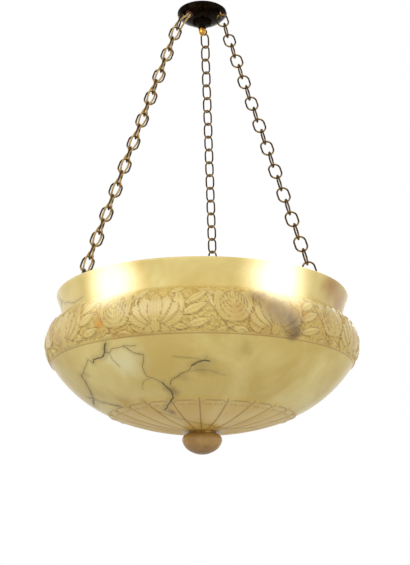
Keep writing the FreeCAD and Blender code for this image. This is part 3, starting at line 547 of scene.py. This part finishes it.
gold.color_ramp.elements[1].color = colour("#D2B766")
part = add(tree, "Math", {0: band, 1: 0.45}, operation="MULTIPLY").outputs[0]
made = add(tree, "Mix", {0: part, 6: made, 7: colour("#D6BC6C")}, data_type="RGBA").outputs[2]
part = add(tree, "Math", {0: ground, 1: 0.65}, operation="MULTIPLY").outputs[0]
made = add(tree, "Mix", {0: part, 6: made, 7: gold.outputs[0]}, data_type="RGBA").outputs[2]
ochre = add(tree, "TexNoise", {"Vector": place, "Scale": 26.0, "Detail": 3.0})
ochre = add(tree, "MapRange", {"Value": ochre.outputs["Fac"], "From Min": 0.52, "From Max": 0.72,
                               "To Max": 0.6})
part = add(tree, "Math", {0: band, 1: ochre.outputs[0]}, operation="MULTIPLY").outputs[0]
made = add(tree, "Mix", {0: part, 6: made, 7: colour("#BC8A30")}, data_type="RGBA").outputs[2]

# The petals are a little more orange than the flank above them
part = add(tree, "MapRange", {"Value": high, "From Min": (RIM - FLANK + 4) / 1000,
                              "From Max": (RIM - FLANK - 8) / 1000, "To Max": 0.45})
made = add(tree, "Mix", {0: part.outputs[0], 6: made, 7: colour("#CFA24C")}, data_type="RGBA").outputs[2]

# Clouds and stains: azimuth, depth, reach in millimetres, strength and colour
STAINS = (
    (-119, 112, 34, 0.75, "#E4DFB2"), (-126, 104, 18, 0.5, "#E4DFB2"), (-160, 110, 26, 0.35, "#DDD79C"),
    (-71, 50, 20, 0.9, "#8A6A38"), (-65, 61, 22, 0.95, "#866534"), (-60, 73, 20, 0.95, "#7A6440"),
    (-58, 84, 13, 0.9, "#6C5636"), (-104, 143, 14, 0.8, "#8E7038"), (-113, 161, 13, 0.9, "#87682F"),
    (-90, 122, 15, 0.6, "#A0854A"), (-98, 129, 12, 0.5, "#A88B4C"), (-84, 124, 13, 0.4, "#A88B4C"),
    (-145, 118, 11, 0.5, "#A88B4C"), (-127, 97, 9, 0.6, "#9A7D42"), (-138, 146, 16, 0.6, "#B98F3C"),
    (-127, 149, 14, 0.5, "#B98F3C"), (-76, 104, 12, 0.4, "#A58B4E"), (-30, 9, 32, 0.95, "#A4752A"),
    (-20, 22, 38, 0.95, "#A4752A"), (-166, 14, 10, 0.7, "#5A4526"), (-169, 88, 18, 0.5, "#B58B3E"),
    (-125, 66, 10, 0.7, "#D08E22"), (60, 70, 34, 0.6, "#917E50"), (150, 60, 24, 0.5, "#A98F57"),
    (20, 130, 25, 0.4, "#E4DFB2"),
)
for azimuth, below, reach, strength, tint in STAINS:
    gap = add(tree, "VectorMath", {0: drifted, 1: flat(azimuth, below)}, operation="DISTANCE")
    mark = add(tree, "MapRange", {"Value": gap.outputs["Value"], "From Min": 0.0,
                                  "From Max": reach / 1000, "To Min": strength, "To Max": 0.0},
               interpolation_type="SMOOTHSTEP").outputs[0]
    made = add(tree, "Mix", {0: mark, 6: made, 7: colour(tint)}, data_type="RGBA").outputs[2]

# Brown in the cut lines and seams
cut = add(tree, "Attribute", attribute_name="cut_line").outputs["Fac"]
cut = add(tree, "Math", {0: cut, 1: 0.9}, operation="MULTIPLY", use_clamp=True).outputs[0]
made = add(tree, "Mix", {0: cut, 6: made, 7: colour("#80561E")}, data_type="RGBA").outputs[2]
made = add(tree, "Mix", {0: around, 6: made, 7: colour("#9A8148")}, data_type="RGBA").outputs[2]
made = add(tree, "Mix", {0: near, 6: made, 7: colour("#3B2B1A")}, data_type="RGBA").outputs[2]

# Painted glow: the lamps' light painted on the stone as emission, a wide glow over the bowl and three painted
# bright hot spots on the neck
painted_glow = add(tree, "MapRange", {"Value": high, "From Min": (RIM - 160) / 1000, "From Max": (RIM - 20) / 1000,
                              "To Min": 0.0, "To Max": 0.1}).outputs[0]
painted_hot_spots = None
for azimuth, below, reach, strength in ((-125, 20, 58, 0.95), (-61, 18, 64, 1.0), (83.5, 22, 60, 0.7)):
    gap = add(tree, "VectorMath", {0: place, 1: on_bowl(azimuth, below)}, operation="DISTANCE")
    painted_glow_patch = add(tree, "MapRange", {"Value": gap.outputs["Value"], "From Min": 0.006, "From Max": reach / 1000,
                                   "To Min": strength, "To Max": 0.0}, interpolation_type="SMOOTHERSTEP")
    painted_glow = add(tree, "Math", {0: painted_glow, 1: painted_glow_patch.outputs[0]}, operation="ADD").outputs[0]
    painted_hot_spots = painted_glow_patch.outputs[0] if painted_hot_spots is None else add(tree, "Math", {0: painted_hot_spots, 1: painted_glow_patch.outputs[0]},
                                                   operation="ADD", use_clamp=True).outputs[0]
painted_glow_colour = add(tree, "Mix", {0: 0.5, 6: made, 7: colour("#FFEFA8")}, data_type="RGBA").outputs[2]
painted_glow_colour = add(tree, "Mix", {0: painted_hot_spots, 6: painted_glow_colour, 7: colour("#FFFCE8")}, data_type="RGBA").outputs[2]
tree.links.new(made, shader.inputs["Base Color"])
tree.links.new(painted_glow_colour, shader.inputs["Emission Color"])
tree.links.new(painted_glow, shader.inputs["Emission Strength"])

pits = add(tree, "TexVoronoi", {"Vector": place, "Scale": 480.0})                    # 2 mm punch marks
pits = add(tree, "Math", {0: pits.outputs["Distance"], 1: ground}, operation="MULTIPLY")
lathe = add(tree, "TexWave", {"Vector": place, "Scale": 140.0, "Distortion": 1.5, "Detail": 2.0},
            bands_direction="Z")                                                     # 2 mm turning lines
relief = add(tree, "Math", {0: lathe.outputs["Fac"], 1: 0.08, 2: pits.outputs[0]}, operation="MULTIPLY_ADD")
bump = add(tree, "Bump", {"Strength": 0.5, "Distance": 0.0006, "Height": relief.outputs[0]})
tree.links.new(bump.outputs[0], shader.inputs["Normal"])
shine = add(tree, "MapRange", {"Value": ground, "To Min": 0.28, "To Max": 0.6})
tree.links.new(shine.outputs[0], shader.inputs["Roughness"])
shader.inputs["IOR"].default_value = 1.52
shader.inputs["Subsurface Weight"].default_value = 0.12
shader.inputs["Subsurface Radius"].default_value = (1.0, 0.7, 0.35)
shader.inputs["Subsurface Scale"].default_value = 0.006
bowl.data.materials.append(alabaster)
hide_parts("alabaster_bowl")
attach(bowl, "bowl")

# Button under the bowl. It is turned from a darker, orange piece of the same stone, screwed on the
# stud, with a brass disc that shows as a dark line above it.


def dress(material, *nodes):
    """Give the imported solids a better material."""
    for node in nodes:
        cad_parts[node].material_slots[0].material = material


def finish(name, dark, light, size, rough, metallic=0.0, depth=0.1, detail=6.0):
    """A mottled finish. The size of its mottling and its depth are in millimetres. It gives back the
    material, its tree, shader and place, and its colour to build on."""
    made, tree, shader = new_material(name)
    place = add(tree, "TexCoord").outputs["Object"]
    cloud = add(tree, "TexNoise", {"Vector": place, "Scale": 1000 / size, "Detail": detail, "Roughness": 0.6})
    ramp = add(tree, "ValToRGB", {0: cloud.outputs["Fac"]})
    for element, position, code in zip(ramp.color_ramp.elements, (0.35, 0.65), (dark, light)):
        element.position = position
        element.color = colour(code)
    shine = add(tree, "MapRange", {"Value": cloud.outputs["Fac"], "From Min": 0.3, "From Max": 0.7,
                                   "To Min": rough + 0.08, "To Max": rough - 0.08})
    bump = add(tree, "Bump", {"Strength": 0.5, "Distance": depth / 1000, "Height": cloud.outputs["Fac"]})
    tree.links.new(ramp.outputs[0], shader.inputs["Base Color"])
    tree.links.new(shine.outputs[0], shader.inputs["Roughness"])
    tree.links.new(bump.outputs[0], shader.inputs["Normal"])
    shader.inputs["Metallic"].default_value = metallic
    return made, tree, shader, place, ramp.outputs[0]


button, tree, shader, place, made = finish("orange alabaster", "#A07A40", "#C49C5C", 26, 0.3)
high = add(tree, "SeparateXYZ", {0: place}).outputs["Z"]
foot_line = add(tree, "Math", {0: high, 1: 0.6125}, operation="ADD")
foot_line = add(tree, "Math", {0: foot_line.outputs[0]}, operation="ABSOLUTE")
foot_line = add(tree, "MapRange", {"Value": foot_line.outputs[0], "From Max": 0.0012, "To Min": 0.6,
                                   "To Max": 0.0})
made = add(tree, "Mix", {0: foot_line.outputs[0], 6: made, 7: colour("#96601C")}, data_type="RGBA").outputs[2]
seam = add(tree, "TexNoise", {"Vector": place, "Scale": 40.0, "Detail": 5.0})
seam = add(tree, "Math", {0: seam.outputs["Fac"], 1: 0.5}, operation="SUBTRACT")
seam = add(tree, "Math", {0: seam.outputs[0]}, operation="ABSOLUTE")
seam = add(tree, "MapRange", {"Value": seam.outputs[0], "From Max": 0.01, "To Min": 0.35, "To Max": 0.0})
made = add(tree, "Mix", {0: seam.outputs[0], 6: made, 7: colour("#80592A")}, data_type="RGBA").outputs[2]
# Painted shade: the button is made darker towards its bottom, away from the lit bowl above.
painted_shade_at_foot = add(tree, "MapRange", {"Value": high, "From Min": -0.602, "From Max": -0.614, "To Max": 0.5})
made = add(tree, "Mix", {0: painted_shade_at_foot.outputs[0], 6: made, 7: colour("#5E4220")}, data_type="RGBA").outputs[2]
tree.links.new(made, shader.inputs["Base Color"])
shader.inputs["IOR"].default_value = 1.52
shader.inputs["Subsurface Weight"].default_value = 0.12
shader.inputs["Subsurface Radius"].default_value = (1.0, 0.6, 0.25)
shader.inputs["Subsurface Scale"].default_value = 0.005
dress(button, "alabaster_button")

# Canopy. A spun brass dish, a cast ribbed cup and a turned collar, all chemically browned nearly to
# black and rubbed back a little on the ribs, and a polished brass acorn nut.

bronze, tree, shader, place, made = finish("browned brass", "#0E0B08", "#241B13", 12, 0.26, 1.0, 0.02)
rub = add(tree, "TexNoise", {"Vector": place, "Scale": 220.0, "Detail": 4.0})
rub = add(tree, "MapRange", {"Value": rub.outputs["Fac"], "From Min": 0.6, "From Max": 0.75, "To Max": 0.35})
made = add(tree, "Mix", {0: rub.outputs[0], 6: made, 7: colour("#5E4526")}, data_type="RGBA").outputs[2]
tree.links.new(made, shader.inputs["Base Color"])
dress(bronze, "canopy_dish", "canopy_ribbed_cup", "canopy_collar")

acorn, tree, shader, place, made = finish("polished brass", "#A8741E", "#D9A441", 4, 0.24, 1.0)
scales = add(tree, "TexVoronoi", {"Vector": place, "Scale": 620.0})                 # 1.6 mm acorn scales
upper = add(tree, "MapRange", {"Value": add(tree, "SeparateXYZ", {0: place}).outputs["Z"],
                               "From Min": -0.0282, "From Max": -0.0276})
scales = add(tree, "Math", {0: scales.outputs["Distance"], 1: upper.outputs[0]}, operation="MULTIPLY")
bump = add(tree, "Bump", {"Strength": 0.8, "Distance": 0.0004, "Height": scales.outputs[0]}, invert=True)
tree.links.new(bump.outputs[0], shader.inputs["Normal"])
made = add(tree, "Mix", {0: scales.outputs[0], 6: made, 7: colour("#4A2E0C")}, data_type="RGBA").outputs[2]
tree.links.new(made, shader.inputs["Base Color"])
dress(acorn, "canopy_acorn_nut")

# Chains, their eyes and the rim hooks. Each link is bent from 2.3 mm brass wire that has gone dark
# brown, and is worn bright where it bears on the next one.

chain, tree, shader, place, made = finish("aged brass wire", "#1D150C", "#4E3B20", 5, 0.36, 1.0, 0.03)
parts = add(tree, "SeparateXYZ", {0: place})
level = add(tree, "CombineXYZ", {0: parts.outputs[0], 1: parts.outputs[1]})
reach = add(tree, "VectorMath", {0: level.outputs[0]}, operation="LENGTH").outputs["Value"]
along = add(tree, "Math", {0: reach, 1: down.x}, operation="MULTIPLY")
along = add(tree, "Math", {0: parts.outputs[2], 1: down.z, 2: along.outputs[0]}, operation="MULTIPLY_ADD")
along = add(tree, "Math", {0: along.outputs[0], 1: contacts[0].dot(down) / 1000}, operation="SUBTRACT")
along = add(tree, "Math", {0: along.outputs[0], 1: 1000 / PITCH}, operation="MULTIPLY")
apart = add(tree, "Math", {0: along.outputs[0], 1: 0.5}, operation="PINGPONG").outputs[0]
bright = add(tree, "MapRange", {"Value": apart, "From Min": 0.02, "From Max": 0.16, "To Min": 0.8,
                                "To Max": 0.0})
grain = add(tree, "TexNoise", {"Vector": place, "Scale": 500.0, "Detail": 3.0})
grain = add(tree, "MapRange", {"Value": grain.outputs["Fac"], "From Min": 0.55, "From Max": 0.75,
                               "To Max": 0.35})
bright = add(tree, "Math", {0: bright.outputs[0], 1: grain.outputs[0]}, operation="MAXIMUM")
made = add(tree, "Mix", {0: bright.outputs[0], 6: made, 7: colour("#9C7C48")}, data_type="RGBA").outputs[2]
tree.links.new(made, shader.inputs["Base Color"])
for side in ("left", "right", "rear"):
    dress(chain, side + "_canopy_eye", side + "_top_link", side + "_chain", side + "_bottom_link")

hook, *_ = finish("drawn brass rod", "#7A5C2C", "#B8934E", 6, 0.34, 1.0)
dress(hook, "left_rim_hook", "right_rim_hook", "rear_rim_hook")

# Zinc-plated steel. The crossbar, rod, nuts and stud are plain mild steel under a dull zinc coat, and
# the rod and stud are threaded.

zinc, *_ = finish("zinc-plated steel", "#85888A", "#B4B6B4", 3, 0.4, 1.0, 0.05)
dress(zinc, "ceiling_crossbar", "rod_nut", "canopy_eye_nuts", "stud_nut", "hub_nut", "earth_screw",
      "terminal_screws")
thread, tree, shader, place, *_ = finish("threaded steel", "#7C7F80", "#A9ABA9", 3, 0.42, 1.0)
turns = add(tree, "TexWave", {"Vector": place, "Scale": 314.0}, bands_direction="Z")  # 1 mm pitch
bump = add(tree, "Bump", {"Strength": 1.0, "Distance": 0.0004, "Height": turns.outputs["Fac"]})
tree.links.new(bump.outputs[0], shader.inputs["Normal"])
dress(thread, "canopy_rod", "through_stud")

# Cluster in the bowl. Spun and turned brass under old lacquer holds three porcelain lampholders.

brass, tree, shader, place, *_ = finish("lacquered brass", "#8A6A30", "#B8924C", 18, 0.3, 1.0, 0.05)
spun = add(tree, "TexWave", {"Vector": place, "Scale": 420.0, "Distortion": 0.6}, bands_direction="Z")
bump = add(tree, "Bump", {"Strength": 0.25, "Distance": 0.0001, "Height": spun.outputs["Fac"]})
tree.links.new(bump.outputs[0], shader.inputs["Normal"])
dress(brass, "button_disc", "inner_disc", "lid_nut", "cluster_spacer", "cluster_cup", "cluster_lid")
china, *_ = finish("glazed porcelain", "#E4DECD", "#F1EDE2", 20, 0.16, 0.0, 0.05)
dress(china, "canopy_terminal_block", "junction_terminal")
leads, *_ = finish("woven lead sleeve", "#1A1613", "#3A322A", 1.2, 0.8, 0.0, 0.2)
dress(leads, "arm_leads")
fibre, *_ = finish("vulcanised fibre", "#3B1A12", "#5E2C1E", 1.5, 0.55)
dress(fibre, "flex_bush")

# Lamps. Pearl glass globes on nickelled caps, lit at a warm white.

cap, *_ = finish("nickelled lamp cap", "#9C9A92", "#C8C5BB", 4, 0.3, 1.0, 0.05)
pearl, tree, shader, place, made = finish("pearl lamp glass", "#F3E6C4", "#FFF6DC", 15, 0.3)
high = add(tree, "SeparateXYZ", {0: place}).outputs["Z"]
rim_fade = add(tree, "MapRange", {"Value": high, "From Min": -0.452, "From Max": -0.43, "To Min": 0.8,
                                  "To Max": 3.0})
tree.links.new(made, shader.inputs["Emission Color"])
tree.links.new(rim_fade.outputs[0], shader.inputs["Emission Strength"])
for side in ("left", "right", "rear"):
    dress(brass, side + "_lamp_arm", side + "_lampholder")
    dress(china, side + "_holder_insulator")
    dress(cap, side + "_lamp_cap")
    dress(pearl, side + "_lamp_glass")
